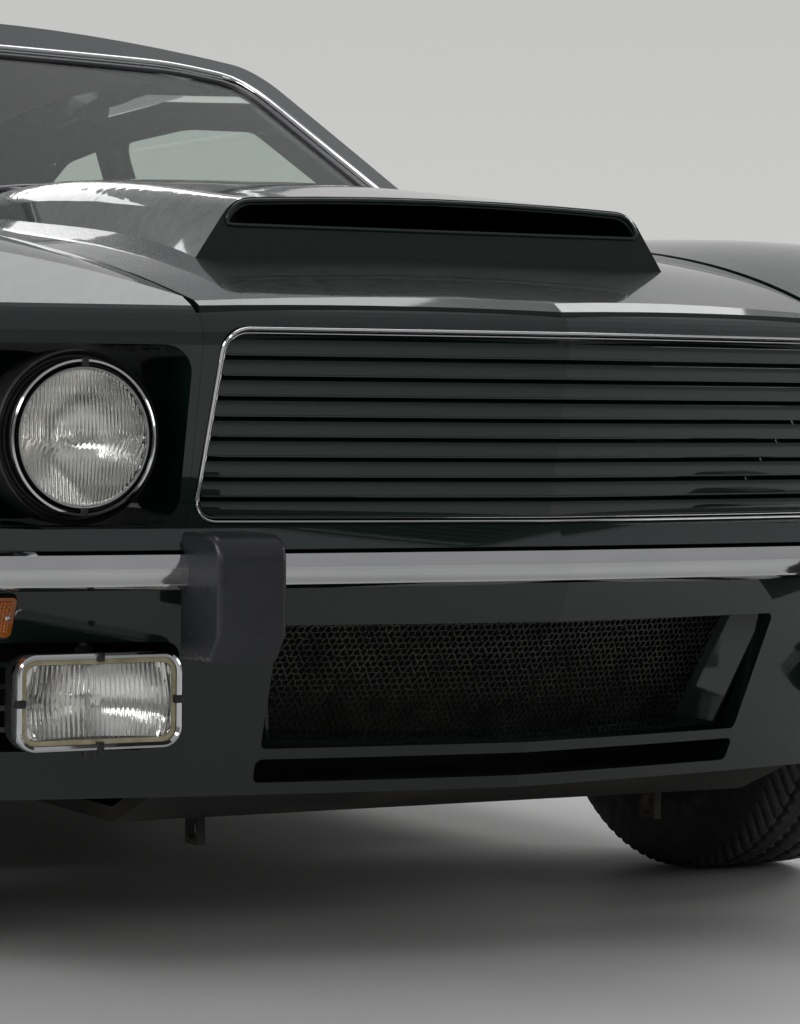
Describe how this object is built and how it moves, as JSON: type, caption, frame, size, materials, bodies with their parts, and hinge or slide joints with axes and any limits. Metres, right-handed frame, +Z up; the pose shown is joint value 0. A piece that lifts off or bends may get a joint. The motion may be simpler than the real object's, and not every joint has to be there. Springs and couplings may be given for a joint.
{
  "type": "grand tourer",
  "caption": "Two-door fastback grand tourer with a scooped bonnet, louvred grille, round headlamps, deep air dam, opening doors, bonnet and boot lid, and steered road wheels.",
  "frame": {"origin": "on the ground, under the middle of the car's length and width", "axes": "+Z up, the front of the car towards -Y, +X the car's left"},
  "size_m": [1.864, 4.667, 1.328],
  "materials": {
    "paint": "deep green gloss",
    "chrome": "polished",
    "rubber": "moulded",
    "tyre": "matt",
    "glass": "clear, slightly green",
    "lamp": "ribbed lens over a mirror bowl",
    "amber": "translucent",
    "red": "translucent",
    "black_metal": "satin black",
    "alloy": "satin",
    "steel": "bare",
    "engine": "cast",
    "leather": "tan hide",
    "trim": "grained"
  },
  "bodies": {
    "chassis": {"wing_left": "paint", "wing_right": "paint", "nose_panel": "paint", "air_dam": "paint", "cabin_shell": "paint", "windscreen": "glass", "rear_glasses": "glass", "rear_panel": "paint", "tail_lamps": "red", "front_frame": "black_metal", "floor_pan": "black_metal", "rear_floor": "black_metal", "grille_frame": "chrome", "grille_slats": "paint", "intake_mesh": "black_metal", "headlamps": "lamp", "driving_lamps": "lamp", "indicators": "amber", "bumpers": "chrome", "overriders": "rubber", "engine": "engine", "front_suspension": "black_metal", "rear_axle": "black_metal", "seats": "leather", "dashboard": "trim", "steering_wheel": "trim", "exhaust": "steel"},
    "bonnet": {"bonnet": "paint"},
    "boot_lid": {"boot_lid": "paint"},
    "door_left": {"door_left": "paint", "door_glass_left": "glass", "door_mirror_left": "chrome"},
    "door_right": {"door_right": "paint", "door_glass_right": "glass", "door_mirror_right": "chrome"},
    "knuckle_left": {"knuckle_left": "steel"},
    "knuckle_right": {"knuckle_right": "steel"},
    "wheel_front_left": {"wheel_front_left": "alloy", "tyre_front_left": "tyre"},
    "wheel_front_right": {"wheel_front_right": "alloy", "tyre_front_right": "tyre"},
    "wheel_rear_left": {"wheel_rear_left": "alloy", "tyre_rear_left": "tyre"},
    "wheel_rear_right": {"wheel_rear_right": "alloy", "tyre_rear_right": "tyre"}
  },
  "joints": [
    {"name": "bonnet_hinge", "type": "hinge", "parent": "chassis", "child": "bonnet", "pos_m": [0, -2.2545, 0.801], "axis": [1, 0, 0], "range_deg": [0, 60]},
    {"name": "boot_hinge", "type": "hinge", "parent": "chassis", "child": "boot_lid", "pos_m": [0, 1.5175, 1.049], "axis": [1, 0, 0], "range_deg": [0, 65]},
    {"name": "door_left_hinge", "type": "hinge", "parent": "chassis", "child": "door_left", "pos_m": [0.909, -0.7335, 0.56], "axis": [0, 0, -1], "range_deg": [0, 65]},
    {"name": "door_right_hinge", "type": "hinge", "parent": "chassis", "child": "door_right", "pos_m": [-0.909, -0.7335, 0.56], "axis": [0, 0, 1], "range_deg": [0, 65]},
    {"name": "steer_left", "type": "hinge", "parent": "chassis", "child": "knuckle_left", "pos_m": [0.69, -1.4885, 0.343], "axis": [0, 0, 1], "range_deg": [-28, 28]},
    {"name": "steer_right", "type": "hinge", "parent": "chassis", "child": "knuckle_right", "pos_m": [-0.69, -1.4885, 0.343], "axis": [0, 0, 1], "range_deg": [-28, 28]},
    {"name": "spin_front_left", "type": "hinge", "parent": "knuckle_left", "child": "wheel_front_left", "pos_m": [0.75, -1.4885, 0.343], "axis": [1, 0, 0], "continuous": true},
    {"name": "spin_front_right", "type": "hinge", "parent": "knuckle_right", "child": "wheel_front_right", "pos_m": [-0.75, -1.4885, 0.343], "axis": [1, 0, 0], "continuous": true},
    {"name": "spin_rear_left", "type": "hinge", "parent": "chassis", "child": "wheel_rear_left", "pos_m": [0.75, 1.1225, 0.343], "axis": [1, 0, 0], "continuous": true},
    {"name": "spin_rear_right", "type": "hinge", "parent": "chassis", "child": "wheel_rear_right", "pos_m": [-0.75, 1.1225, 0.343], "axis": [1, 0, 0], "continuous": true}
  ],
  "couplings": [
    {"joint": "steer_right", "follows": "steer_left", "ratio": 1}
  ]
}
